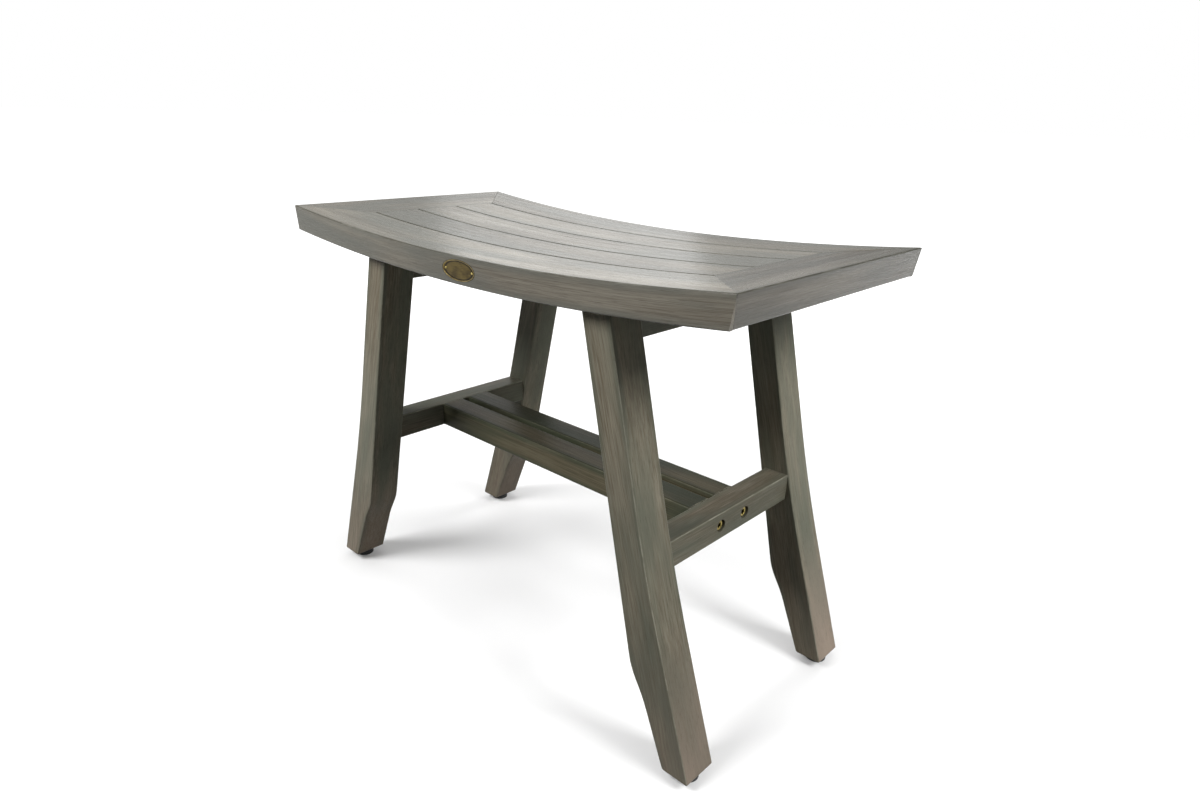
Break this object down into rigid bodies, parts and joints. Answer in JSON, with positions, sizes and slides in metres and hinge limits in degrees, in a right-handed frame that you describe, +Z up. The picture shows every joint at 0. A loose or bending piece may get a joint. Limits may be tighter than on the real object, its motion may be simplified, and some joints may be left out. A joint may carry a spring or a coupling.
{
  "type": "slatted shower bench",
  "caption": "Free-standing teak bench with a dished, slatted seat, splayed legs, a slotted lower shelf and screw-in levelling glides.",
  "frame": {"origin": "on the floor under the middle of the seat, with the glides screwed right in", "axes": "+X along the bench, +Y from the front, where the badge is, to the back, +Z up"},
  "size_m": [0.6076, 0.303, 0.4568],
  "materials": {
    "teak_seat": "grey-washed teak, satin",
    "teak_leg": "grey-washed teak, satin",
    "teak_shelf": "grey-washed teak, satin",
    "dowel_wood": "plain dowel wood",
    "brass": "plated, satin",
    "badge_brass": "aged brass",
    "steel": "zinc plated",
    "black_pad": "matt black"
  },
  "bodies": {
    "bench": {"seat_front_rail": "teak_seat", "seat_back_rail": "teak_seat", "seat_end_rail_left": "teak_seat", "seat_end_rail_right": "teak_seat", "seat_slat_front": "teak_seat", "seat_slat_middle": "teak_seat", "seat_slat_back": "teak_seat", "mitre_tenons": "dowel_wood", "leg_front_left": "teak_leg", "leg_front_right": "teak_leg", "leg_back_left": "teak_leg", "leg_back_right": "teak_leg", "top_rail_left": "teak_leg", "top_rail_right": "teak_leg", "stretcher_left": "teak_leg", "stretcher_right": "teak_leg", "rail_dowels": "dowel_wood", "seat_dowels": "dowel_wood", "shelf_board_front": "teak_shelf", "shelf_board_back": "teak_shelf", "shelf_dowels": "dowel_wood", "shelf_bolts": "brass", "barrel_nuts": "brass", "seat_bolts": "brass", "seat_inserts": "brass", "foot_inserts": "brass", "badge_plate": "badge_brass", "badge_pins": "badge_brass"},
    "glide_front_left": {"glide_pad_front_left": "black_pad", "glide_stud_front_left": "steel"},
    "glide_front_right": {"glide_pad_front_right": "black_pad", "glide_stud_front_right": "steel"},
    "glide_back_left": {"glide_pad_back_left": "black_pad", "glide_stud_back_left": "steel"},
    "glide_back_right": {"glide_pad_back_right": "black_pad", "glide_stud_back_right": "steel"}
  },
  "joints": [
    {"name": "level_front_left", "type": "slide", "parent": "bench", "child": "glide_front_left", "axis": [0, 0, -1], "range_m": [0, 0.008]},
    {"name": "level_front_right", "type": "slide", "parent": "bench", "child": "glide_front_right", "axis": [0, 0, -1], "range_m": [0, 0.008]},
    {"name": "level_back_left", "type": "slide", "parent": "bench", "child": "glide_back_left", "axis": [0, 0, -1], "range_m": [0, 0.008]},
    {"name": "level_back_right", "type": "slide", "parent": "bench", "child": "glide_back_right", "axis": [0, 0, -1], "range_m": [0, 0.008]}
  ]
}
